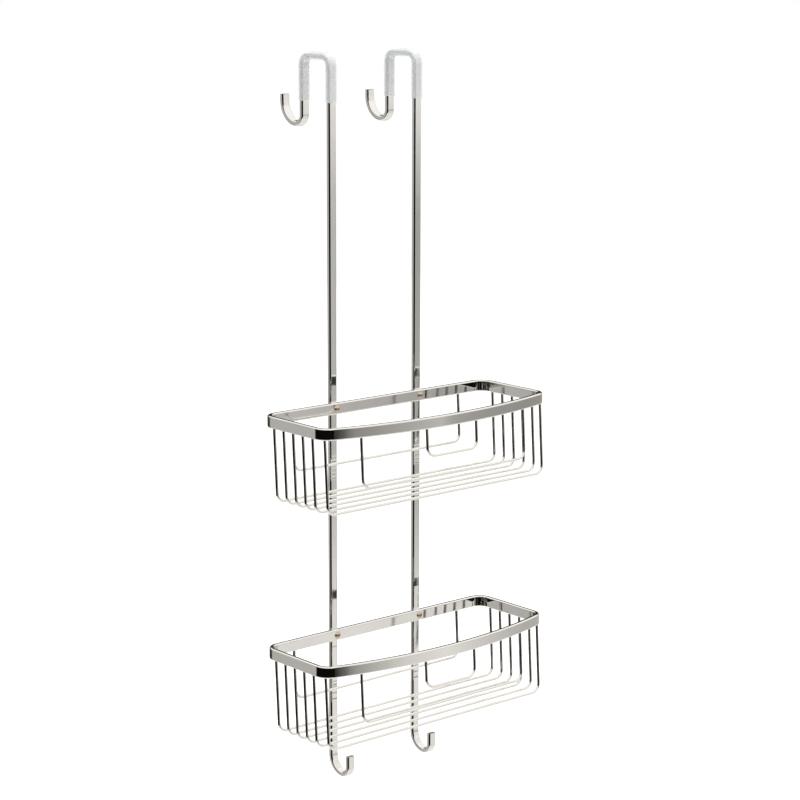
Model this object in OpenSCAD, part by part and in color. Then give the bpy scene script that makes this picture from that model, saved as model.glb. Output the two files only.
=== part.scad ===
// Two-tier hanging shower caddy: two bent flat bars hook over the top edge of a door or
// screen and carry two wire baskets, one above the other.
// +X runs to the right, the baskets face -Y, +Z is up. The origin is midway between the
// two hooks, on the plane where they rest on the door's top edge. All sizes are in mm.

/* [Hanger bars] */
// Width of the flat bar, across the front
bar_width = 9; // [7:0.5:12]
// Thickness of the flat bar
bar_thickness = 5; // [4:0.5:6]
// Rounding along the bar's long edges
bar_edge = 1.5; // [0.5:0.1:1.8]
// Distance between the centre lines of the two bars
bar_spacing = 113; // [90:1:150]
// Bend radius of the over-door arch, on the bar's centre line
arch_radius = 10; // [7:0.5:14]

/* [Over-door hooks] */
// Clear gap between the sleeved legs, for the door
door_gap = 36; // [30:1:60]
// Wall thickness of the protective sleeve
sleeve_wall = 1; // [0.6:0.1:1.5]
// Clearance between the sleeve's bore and the bar
sleeve_clearance = 0.1; // [0.05:0.05:0.3]
// How far the sleeve reaches below the door's top edge
sleeve_drop = 42; // [25:1:60]
// Depth of the rear hook's lowest point below the door's top edge
rear_hook_depth = 68; // [60:1:110]

/* [Towel hooks] */
// Radius of every hook's tight bend, on the bar's centre line
hook_radius = 9.5; // [6:0.5:12]
// Radius of the front hooks' wide bend, on the bar's centre line
front_wide_radius = 18; // [12:0.5:26]
// Radius of the rear hooks' wide bend, on the bar's centre line
rear_wide_radius = 22.5; // [12:0.5:28]
// Straight end of a front towel hook, above its tight bend
front_tip_length = 12; // [4:1:25]
// Straight end of a rear towel hook, above its wide bend
rear_tip_length = 6; // [2:1:25]

/* [Baskets] */
// Overall width of a basket
basket_width = 300; // [240:1:380]
// Overall depth of a basket, back face to the middle of the bowed front
basket_depth = 121; // [100:1:150]
// Depth from the door's top edge to the top of the upper rim
upper_rim_drop = 346; // [200:1:450]
// Height between the two baskets, rim to rim
basket_pitch = 240; // [160:1:300]
// Depth from the top of the lower rim to the bottom of the front towel hooks
hook_drop = 157; // [130:1:200]
// Height of the rim band
rim_height = 12; // [8:0.5:16]
// Thickness of the rim band
rim_thickness = 5; // [4:0.5:7]
// Rounding along the rim's long edges
rim_edge = 1.5; // [0.5:0.1:1.8]
// Outside radius of the rim's corners
corner_radius = 16; // [10:1:24]
// Outside radius of the bowed front
bow_radius = 500; // [420:10:900]

/* [Basket wires] */
// Diameter of every basket wire
wire_diameter = 3; // [2:0.5:4]
// Bend radius of the wires, on the centre line
wire_bend_radius = 9; // [5:0.5:14]
// How far every basket wire leans forward from the rim down, in degrees
wire_lean = 3.5; // [0:0.5:6]
// Depth from the top of the rim to the middle of the floor wires
floor_depth = 86; // [70:1:110]
// Distance from the back of the rim to where the first floor wire meets it
first_wire_inset = 18.5; // [18:0.5:30]
// Where the last floor wire meets the front corner, as degrees round the corner
last_wire_turn = 39; // [20:1:70]
// Depth from the top of the rim to the middle of the wide back and front wires
wide_wire_depth = 63; // [40:1:75]
// Half width of the wide back wire
back_wire_reach = 112; // [80:1:120]
// Half width of the wide front wire
front_wire_reach = 108.5; // [80:0.5:120]
// Depth from the top of the rim to the middle of the small front wire
small_wire_depth = 40; // [28:1:60]
// Half width of the small front wire
small_wire_reach = 33; // [25:1:60]

/* [Screws] */
// Diameter of the screw's shank
screw_diameter = 4; // [3:0.5:4.5]
// Clearance round the shank where it passes through the rim, on the radius
screw_clearance = 0.25; // [0.1:0.05:0.5]
// Diameter of the domed head
screw_head_diameter = 7.6; // [6:0.2:8.6]
// Height of the domed head
screw_head_height = 2.2; // [1.5:0.1:3]
// Size of the hexagon socket, across its flats
socket_width = 2.5; // [2:0.5:3]
// Depth of the hexagon socket
socket_depth = 1.4; // [0.8:0.1:1.4]
// How much of the bar's thickness the screw leaves undrilled
bar_skin = 0.8; // [0.5:0.1:1.5]

/* [Hidden] */
$fn = 48;

// Places that the parts share. The front legs of the bars stand in front of the door and
// the rear legs behind it, and the back of each rim lies flat against the front legs.
sleeve_growth = sleeve_clearance + sleeve_wall;
bar_x = bar_spacing / 2;
leg_spacing = door_gap + 2 * sleeve_growth + bar_thickness;
front_leg_y = -leg_spacing / 2;
bar_front_y = front_leg_y - bar_thickness / 2;
arch_top_z = sleeve_growth + bar_thickness / 2;
arch_start_z = arch_top_z - arch_radius;
upper_rim_z = -upper_rim_drop;
lower_rim_z = upper_rim_z - basket_pitch;

// Height of each hook's lowest point, on the bar's centre line
front_hook_z = lower_rim_z - hook_drop + bar_thickness / 2;
rear_hook_z = bar_thickness / 2 - rear_hook_depth;

// Rim outline: straight back and sides, round corners and a bowed front
rim_line_y = bar_front_y - rim_thickness / 2;
corner_x = basket_width / 2 - corner_radius;
corner_line_radius = corner_radius - rim_thickness / 2;
bow_line_radius = bow_radius - rim_thickness / 2;
bow_centre_y = bar_front_y - basket_depth + bow_radius;
back_corner_y = bar_front_y - corner_radius;
front_corner_y = bow_centre_y - sqrt(pow(bow_radius - corner_radius, 2) - pow(corner_x, 2));
bow_half_angle = asin(corner_x / (bow_radius - corner_radius));

// Height of the rim's centre line at each basket, where the screws are
rim_heights = [upper_rim_z - rim_height / 2, lower_rim_z - rim_height / 2];

// Floor wires: evenly spaced from the first, near the back, to the last, in the front corner
first_wire_y = bar_front_y - first_wire_inset;
last_wire_y = front_corner_y - corner_line_radius * sin(last_wire_turn);
floor_wire_count = 6;
wire_step = (last_wire_y - first_wire_y) / (floor_wire_count - 1);

// Half the distance across the rim's centre line at a given depth
function rim_half_width(y) =
  let (past = max(0, y - back_corner_y, front_corner_y - y))
  corner_x + sqrt(pow(corner_line_radius, 2) - pow(past, 2));

// The rim's centre line along its bowed front, at a given distance from the middle
function bow_y(x) = bow_centre_y - sqrt(pow(bow_line_radius, 2) - pow(x, 2));

// Each front corner of a rim runs a little way into the side and into the bow, and is
// slimmer all round by a hair so that both its ends lie inside their sections
corner_overlap = 0.2;
corner_slimming = 0.02;

// Screws: the shank fills its thread in the bar and stops short of the drilled depth
drilled_depth = bar_thickness - bar_skin;
screw_end_gap = 0.2;
shank_length = rim_thickness + drilled_depth - screw_end_gap;

// Moves its children to the far end of a bend that starts upward at the origin
module past_bend(radius, turn) {
  translate([sign(turn) * radius * (1 - cos(turn)), 0, radius * sin(abs(turn))])
    rotate([0, turn, 0])
      children();
}

// A bend that starts upward at the origin, with its children as the section
module bend(radius, turn) {
  rotate([0, 0, turn > 0 ? 0 : 180])
    translate([radius, 0, 0])
      rotate([90, 0, 180])
        rotate_extrude(angle = abs(turn)) translate([radius, 0]) children();
}

// Follows a bent route upward from the origin with its children as the section.
// Each step is [straight length, bend radius, bend angle], and a positive angle bends
// towards +X.
module follow(steps, at = 0) {
  if (at < len(steps)) {
    straight = steps[at][0];
    radius = steps[at][1];
    turn = steps[at][2];
    if (straight > 0)
      linear_extrude(straight) children();
    translate([0, 0, straight]) {
      if (turn != 0)
        bend(radius, turn) children();
      past_bend(radius, turn) follow(steps, at + 1) children();
    }
  }
}

// Section of a flat bar with rounded edges
module bar_section(thickness, width, edge) {
  square([thickness - 2 * edge, width], center = true);
  square([thickness, width - 2 * edge], center = true);
  for (side_x = [-1, 1], side_y = [-1, 1])
    translate([side_x * (thickness / 2 - edge), side_y * (width / 2 - edge)])
      circle(edge);
}

// Section of the hanger bar, grown all round by the given amount
module hanger_section(growth = 0) {
  bar_section(bar_thickness + 2 * growth, bar_width + 2 * growth, bar_edge + growth);
}

// Holes along Y at both screw heights, from the given plane backwards
module screw_holes(x, from_y, length, diameter) {
  for (z = rim_heights)
    translate([x, from_y, z])
      rotate([-90, 0, 0])
        cylinder(d = diameter, h = length);
}

// One hanger: front towel hook, long leg, arch over the door, rear leg and rear towel hook
module hanger_bar(x) {
  route = [
    [front_tip_length, hook_radius, 90],
    [0, front_wide_radius, 90],
    [arch_start_z - front_hook_z - front_wide_radius, arch_radius, -90],
    [leg_spacing - 2 * arch_radius, arch_radius, -90],
    [arch_start_z - rear_hook_z - hook_radius, hook_radius, 90],
    [0, rear_wide_radius, 90],
    [rear_tip_length, 0, 0]
  ];
  start_y = front_leg_y - hook_radius - front_wide_radius;
  start_z = front_hook_z + hook_radius + front_tip_length;
  color("silver")
    difference() {
      translate([x, start_y, start_z])
        rotate([180, 0, 90])
          follow(route) hanger_section();
      screw_holes(x, bar_front_y, drilled_depth, screw_diameter);
    }
}

// Clear sleeve over the arch and the upper part of both legs
module sleeve(x) {
  leg_length = arch_start_z + sleeve_drop;
  route = [
    [leg_length, arch_radius, 90],
    [leg_spacing - 2 * arch_radius, arch_radius, 90],
    [leg_length, 0, 0]
  ];
  color("lightcyan", 0.5)
    translate([x, front_leg_y, -sleeve_drop])
      rotate([0, 0, 90])
        follow(route)
          difference() {
            hanger_section(sleeve_growth);
            hanger_section(sleeve_clearance);
          }
}

// Section of the rim band, slimmer all round by the given amount
module rim_section(slimming = 0) {
  bar_section(rim_thickness - 2 * slimming, rim_height - 2 * slimming, rim_edge - slimming);
}

// Left half of a rim's back, its back corner, its side and its front corner
module half_rim() {
  back_and_side = [
    [corner_x, corner_line_radius, 90],
    [back_corner_y - front_corner_y, 0, 0]
  ];
  corner_turn = 90 - bow_half_angle + corner_overlap / corner_line_radius * 180 / PI;
  translate([0, rim_line_y, 0])
    rotate([90, 0, -90])
      follow(back_and_side) rim_section();
  translate([-corner_x - corner_line_radius, front_corner_y + corner_overlap, 0])
    rotate([90, 0, 0])
      follow([[corner_overlap, corner_line_radius, corner_turn]])
        rim_section(corner_slimming);
}

// The bowed front of a rim, from one front corner to the other
module rim_bow() {
  translate([0, bow_centre_y, 0])
    rotate([0, 0, 270 - bow_half_angle])
      rotate_extrude(angle = 2 * bow_half_angle, $fn = 240)
        translate([bow_line_radius, 0]) rim_section();
}

// Rim band of a basket, drilled at the back for its two screws
module rim(top_z) {
  color("gainsboro")
    difference() {
      translate([0, 0, top_z - rim_height / 2]) {
        half_rim();
        mirror([1, 0, 0]) half_rim();
        rim_bow();
      }
      for (side = [-1, 1])
        screw_holes(side * bar_x, bar_front_y - 2 * rim_thickness, 2 * rim_thickness,
                    screw_diameter + 2 * screw_clearance);
    }
}

// A wire bent into a square U that leans forward, welded by both ends under the rim. Its legs
// are made overlong and cut level where they meet the rim.
module u_wire(half_width, y, depth, rim_z) {
  leg_length = wire_diameter + (depth - rim_height) / cos(wire_lean) - wire_bend_radius;
  route = [
    [leg_length, wire_bend_radius, 90],
    [2 * (half_width - wire_bend_radius), wire_bend_radius, 90],
    [leg_length, 0, 0]
  ];
  color("whitesmoke")
    difference() {
      translate([-half_width, y, rim_z - rim_height])
        rotate([180 - wire_lean, 0, 0])
          translate([0, 0, -wire_diameter])
            follow(route) circle(d = wire_diameter);
      translate([0, y, rim_z - rim_height + wire_diameter])
        cube([2 * half_width + 4 * wire_diameter, 4 * wire_diameter, 2 * wire_diameter],
             center = true);
    }
}

// Floor wire of a basket, counted from the back
module floor_wire(number, rim_z) {
  y = first_wire_y + (number - 1) * wire_step;
  u_wire(rim_half_width(y), y, floor_depth, rim_z);
}

module back_wire(rim_z) {
  u_wire(back_wire_reach, rim_line_y, wide_wire_depth, rim_z);
}

module front_wide_wire(rim_z) {
  u_wire(front_wire_reach, bow_y(front_wire_reach), wide_wire_depth, rim_z);
}

module front_small_wire(rim_z) {
  u_wire(small_wire_reach, bow_y(small_wire_reach), small_wire_depth, rim_z);
}

// Domed head with a hexagon socket, seated on the plane z = 0, and its shank below
module screw() {
  dome_radius = (pow(screw_head_diameter / 2, 2) + pow(screw_head_height, 2))
    / (2 * screw_head_height);
  difference() {
    union() {
      rotate_extrude()
        intersection() {
          translate([0, screw_head_height - dome_radius]) circle(dome_radius, $fn = 96);
          square([screw_head_diameter / 2, screw_head_height]);
        }
      translate([0, 0, -shank_length]) cylinder(d = screw_diameter, h = shank_length);
    }
    translate([0, 0, screw_head_height - socket_depth])
      cylinder(d = socket_width / cos(30), h = socket_depth, $fn = 6);
  }
}

// Two screws for each basket, driven from inside it through the rim into the bars
module basket_screws() {
  color("darkgoldenrod")
    for (side = [-1, 1], z = rim_heights)
      translate([side * bar_x, bar_front_y - rim_thickness, z])
        rotate([90, 0, 0])
          screw();
}

hanger_bar(-bar_x);  // left_hanger_bar
hanger_bar(bar_x);  // right_hanger_bar
sleeve(-bar_x);  // left_sleeve
sleeve(bar_x);  // right_sleeve
rim(upper_rim_z);  // upper_rim
back_wire(upper_rim_z);  // upper_back_wire
front_wide_wire(upper_rim_z);  // upper_front_wide_wire
front_small_wire(upper_rim_z);  // upper_front_small_wire
floor_wire(1, upper_rim_z);  // upper_floor_wire_1
floor_wire(2, upper_rim_z);  // upper_floor_wire_2
floor_wire(3, upper_rim_z);  // upper_floor_wire_3
floor_wire(4, upper_rim_z);  // upper_floor_wire_4
floor_wire(5, upper_rim_z);  // upper_floor_wire_5
floor_wire(6, upper_rim_z);  // upper_floor_wire_6
rim(lower_rim_z);  // lower_rim
back_wire(lower_rim_z);  // lower_back_wire
front_wide_wire(lower_rim_z);  // lower_front_wide_wire
front_small_wire(lower_rim_z);  // lower_front_small_wire
floor_wire(1, lower_rim_z);  // lower_floor_wire_1
floor_wire(2, lower_rim_z);  // lower_floor_wire_2
floor_wire(3, lower_rim_z);  // lower_floor_wire_3
floor_wire(4, lower_rim_z);  // lower_floor_wire_4
floor_wire(5, lower_rim_z);  // lower_floor_wire_5
floor_wire(6, lower_rim_z);  // lower_floor_wire_6
basket_screws();
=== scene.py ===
from math import radians, sin

import bpy
from mathutils import Euler, Matrix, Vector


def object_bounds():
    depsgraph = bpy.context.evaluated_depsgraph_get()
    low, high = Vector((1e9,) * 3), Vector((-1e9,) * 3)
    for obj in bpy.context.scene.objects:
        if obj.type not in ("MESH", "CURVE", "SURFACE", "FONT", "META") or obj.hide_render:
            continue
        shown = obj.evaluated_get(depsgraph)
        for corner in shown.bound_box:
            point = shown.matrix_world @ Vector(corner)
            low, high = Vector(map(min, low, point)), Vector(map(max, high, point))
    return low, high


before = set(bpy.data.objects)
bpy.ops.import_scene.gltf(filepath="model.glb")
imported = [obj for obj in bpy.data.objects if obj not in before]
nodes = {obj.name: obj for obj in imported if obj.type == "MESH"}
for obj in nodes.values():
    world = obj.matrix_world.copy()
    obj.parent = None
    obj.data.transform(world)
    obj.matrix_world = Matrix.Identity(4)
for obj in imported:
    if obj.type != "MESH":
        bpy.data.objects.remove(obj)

solid_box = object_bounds()

# The viewpoint: in front and to the left of the caddy, looking slightly down on the
# baskets, far enough back that the long bars stay nearly parallel.
eye = (-1.5156, -1.8241, 0.1174)
lens_mm = 104.13
look_turn = -40.70
look_down = 11.25
look_roll = 0.13
camera = bpy.data.objects.new("camera", bpy.data.cameras.new("camera"))
bpy.context.scene.collection.objects.link(camera)
camera.location = eye
level = Euler((radians(90 - look_down), 0, radians(look_turn))).to_matrix()
camera.rotation_euler = (level @ Matrix.Rotation(radians(look_roll), 3, "Z")).to_euler()
camera.data.lens = lens_mm
camera.data.sensor_width = 36
camera.data.clip_end = 100
bpy.context.scene.camera = camera

# The studio: a plain white backdrop, with white light overhead and below and soft grey
# walls round the sides. The wall behind the viewer is dark, so that polished chrome has
# something dark to reflect.
scene = bpy.context.scene
scene.view_settings.view_transform = "Standard"
room = bpy.data.worlds.new("studio")
scene.world = room
room.use_nodes = True
net = room.node_tree
net.nodes.clear()
world_end = net.nodes.new("ShaderNodeOutputWorld")
way = net.nodes.new("ShaderNodeTexCoord")
split = net.nodes.new("ShaderNodeSeparateXYZ")
net.links.new(way.outputs["Generated"], split.inputs[0])
turn = net.nodes.new("ShaderNodeMath")
turn.operation = "ARCTAN2"
net.links.new(split.outputs["Y"], turn.inputs[0])
net.links.new(split.outputs["X"], turn.inputs[1])
circuit = net.nodes.new("ShaderNodeMapRange")
circuit.inputs["From Min"].default_value = radians(-180)
circuit.inputs["From Max"].default_value = radians(180)
net.links.new(turn.outputs[0], circuit.inputs["Value"])

wall_warmth = (1, 0.97, 0.91)


def wall_ring(shades):
    ring = net.nodes.new("ShaderNodeValToRGB")
    net.links.new(circuit.outputs["Result"], ring.inputs["Fac"])
    stops = ring.color_ramp.elements
    while len(stops) > 1:
        stops.remove(stops[-1])
    for number, (angle, shade) in enumerate(shades):
        around = (angle + 180) / 360
        stop = stops[0] if number == 0 else stops.new(around)
        stop.position = around
        stop.color = (*[shade * part for part in wall_warmth], 1)
    return ring.outputs["Color"]


# Each ring of wall is given by its height, as an angle above level, and by its shades at
# angles counted round from +X. A ring blends into the next one up.
black = 0.004
behind = [(-180, black), (-82, black)]
left_side = [(56, 0.05), (114, 0.05), (119, 0.50), (135, 0.50), (138.5, black)]
wall_rings = [
    (-40, [(-180, 0.95)]),
    (-26, behind + [(-78, 0.75), (20, 0.9), (48, 0.75)] + left_side),
    (-17.6, behind + [(-78, 0.36), (-64, 0.72), (-50, 0.88), (-38, 0.72), (-20, 0.52),
                      (20, 0.60), (48, 0.30)] + left_side),
    (-12, behind + [(-78, 0.30), (-64, 0.44), (-52, 0.56), (-48, 0.42), (-41, 0.38),
                    (-20, 0.33), (20, 0.45), (48, 0.12)] + left_side),
    (-7, behind + [(-78, 0.35), (-52, 0.72), (-50, 0.40), (-20, 0.36), (20, 0.45),
                   (48, 0.05)] + left_side),
    (-3.2, behind + [(-78, 0.9), (-20, 0.9), (20, 0.6), (48, 0.04)] + left_side),
    (16, behind + [(-78, 0.95), (0, 0.95), (20, 0.5), (40, 0.02), (60, 0.02), (90, 0.4)]
     + left_side[1:]),
    (27, [(-180, 1.1)]),
]
wall = wall_ring(wall_rings[0][1])
for (low, _), (high, shades) in zip(wall_rings, wall_rings[1:]):
    climb = net.nodes.new("ShaderNodeMapRange")
    climb.interpolation_type = "SMOOTHSTEP"
    climb.inputs["From Min"].default_value = sin(radians(low))
    climb.inputs["From Max"].default_value = sin(radians(high))
    net.links.new(split.outputs["Z"], climb.inputs["Value"])
    blend = net.nodes.new("ShaderNodeMix")
    blend.data_type = "RGBA"
    net.links.new(climb.outputs["Result"], blend.inputs["Factor"])
    net.links.new(wall, blend.inputs["A"])
    net.links.new(wall_ring(shades), blend.inputs["B"])
    wall = blend.outputs["Result"]
seen = net.nodes.new("ShaderNodeLightPath")
backdrop = net.nodes.new("ShaderNodeMix")
backdrop.data_type = "RGBA"
backdrop.inputs["B"].default_value = (1, 1, 1, 1)
net.links.new(seen.outputs["Is Camera Ray"], backdrop.inputs["Factor"])
net.links.new(wall, backdrop.inputs["A"])
glow = net.nodes.new("ShaderNodeBackground")
net.links.new(backdrop.outputs["Result"], glow.inputs["Color"])
net.links.new(glow.outputs[0], world_end.inputs["Surface"])

# The floor: a plain pale sheet well below the hanging caddy, evenly lit from above.
floor_drop = 0.25
floor_height = solid_box[0][2] - floor_drop
floor_half = 4.0
floor_white = (0.96, 0.96, 0.96, 1)
bpy.ops.mesh.primitive_plane_add(size=2 * floor_half, location=(0, 0, floor_height))
floor = bpy.context.object
floor.name = "floor"
paper = bpy.data.materials.new("pale_floor")
paper.use_nodes = True
sheet = paper.node_tree.nodes["Principled BSDF"]
sheet.inputs["Base Color"].default_value = floor_white
sheet.inputs["Roughness"].default_value = 0.9
floor.data.materials.append(paper)
floor.visible_glossy = False
lamp = bpy.data.objects.new("overhead_light", bpy.data.lights.new("overhead_light", "AREA"))
scene.collection.objects.link(lamp)
lamp.location = (0.6, 0.4, 3.2)
lamp.data.size = 4.0
lamp.data.energy = 160
lamp.visible_glossy = False

# The hanger bars, rims and wires: steel, bent and welded, then chromium plated. Handling
# leaves faint smears that make the mirror finish uneven from place to place.
marks = bpy.data.node_groups.new("plating_marks", "ShaderNodeTree")
marks.interface.new_socket("Scale", in_out="INPUT", socket_type="NodeSocketFloat")
marks.interface.new_socket("Least", in_out="INPUT", socket_type="NodeSocketFloat")
marks.interface.new_socket("Most", in_out="INPUT", socket_type="NodeSocketFloat")
marks.interface.new_socket("Roughness", in_out="OUTPUT", socket_type="NodeSocketFloat")
marks.interface.new_socket("Height", in_out="OUTPUT", socket_type="NodeSocketFloat")
given = marks.nodes.new("NodeGroupInput")
made = marks.nodes.new("NodeGroupOutput")
where = marks.nodes.new("ShaderNodeTexCoord")
smear = marks.nodes.new("ShaderNodeTexNoise")
smear.inputs["Detail"].default_value = 6
marks.links.new(where.outputs["Object"], smear.inputs["Vector"])
marks.links.new(given.outputs["Scale"], smear.inputs["Scale"])
spread = marks.nodes.new("ShaderNodeMapRange")
spread.inputs["From Min"].default_value = 0.35
spread.inputs["From Max"].default_value = 0.7
marks.links.new(smear.outputs["Fac"], spread.inputs["Value"])
marks.links.new(given.outputs["Least"], spread.inputs["To Min"])
marks.links.new(given.outputs["Most"], spread.inputs["To Max"])
marks.links.new(spread.outputs["Result"], made.inputs["Roughness"])
marks.links.new(smear.outputs["Fac"], made.inputs["Height"])

ripple_depth = 0.0005
smeared_shade = 0.93


def plated(name, tint, least, most, scale, ripple):
    plating = bpy.data.materials.new(name)
    plating.use_nodes = True
    tree = plating.node_tree
    shader = tree.nodes["Principled BSDF"]
    shader.inputs["Metallic"].default_value = 1.0
    worn = tree.nodes.new("ShaderNodeGroup")
    worn.node_tree = marks
    worn.inputs["Scale"].default_value = scale
    worn.inputs["Least"].default_value = least
    worn.inputs["Most"].default_value = most
    tree.links.new(worn.outputs["Roughness"], shader.inputs["Roughness"])
    bump = tree.nodes.new("ShaderNodeBump")
    bump.inputs["Strength"].default_value = ripple
    bump.inputs["Distance"].default_value = ripple_depth
    tree.links.new(worn.outputs["Height"], bump.inputs["Height"])
    tree.links.new(bump.outputs["Normal"], shader.inputs["Normal"])
    blush = tree.nodes.new("ShaderNodeMix")
    blush.data_type = "RGBA"
    blush.inputs["A"].default_value = (*tint, 1)
    blush.inputs["B"].default_value = (*[smeared_shade * part for part in tint], 1)
    tree.links.new(worn.outputs["Height"], blush.inputs["Factor"])
    tree.links.new(blush.outputs["Result"], shader.inputs["Base Color"])
    return plating


bar_chrome = plated("bar_chrome", (0.86, 0.86, 0.86), 0.03, 0.10, 60, 0.05)
rim_chrome = plated("rim_chrome", (0.86, 0.855, 0.85), 0.03, 0.09, 45, 0.05)
wire_chrome = plated("wire_chrome", (0.88, 0.88, 0.87), 0.05, 0.14, 140, 0.08)
for name, part in nodes.items():
    for ending, finish in (("hanger_bar", bar_chrome), ("rim", rim_chrome)):
        if name.endswith(ending):
            part.data.materials.clear()
            part.data.materials.append(finish)
    if "_wire" in name:
        part.data.materials.clear()
        part.data.materials.append(wire_chrome)

# The sleeves: soft plastic tubes pushed over the hooks so that the metal does not scratch
# the door. Their finish is milkier than the nearly clear plastic of the real ones.
sleeve_cover = 0.38
sleeve_skin = bpy.data.materials.new("clear_sleeve")
sleeve_skin.use_nodes = True
tree = sleeve_skin.node_tree
shader = tree.nodes["Principled BSDF"]
worn = tree.nodes.new("ShaderNodeGroup")
worn.node_tree = marks
worn.inputs["Scale"].default_value = 90
worn.inputs["Least"].default_value = 0.10
worn.inputs["Most"].default_value = 0.24
haze = tree.nodes.new("ShaderNodeMix")
haze.data_type = "RGBA"
haze.inputs["A"].default_value = (0.80, 0.84, 0.88, 1)
haze.inputs["B"].default_value = (0.90, 0.93, 0.96, 1)
tree.links.new(worn.outputs["Height"], haze.inputs["Factor"])
tree.links.new(haze.outputs["Result"], shader.inputs["Base Color"])
tree.links.new(worn.outputs["Roughness"], shader.inputs["Roughness"])
shader.inputs["Alpha"].default_value = sleeve_cover
for side in ("left", "right"):
    sleeve = nodes[side + "_sleeve"]
    sleeve.data.materials.clear()
    sleeve.data.materials.append(sleeve_skin)

# The screws: small domed heads with a hexagon socket, a duller and browner metal than
# the chrome round them.
screw_metal = plated("screw_metal", (0.62, 0.53, 0.42), 0.22, 0.40, 400, 0.15)
screws = nodes["basket_screws"]
screws.data.materials.clear()
screws.data.materials.append(screw_metal)
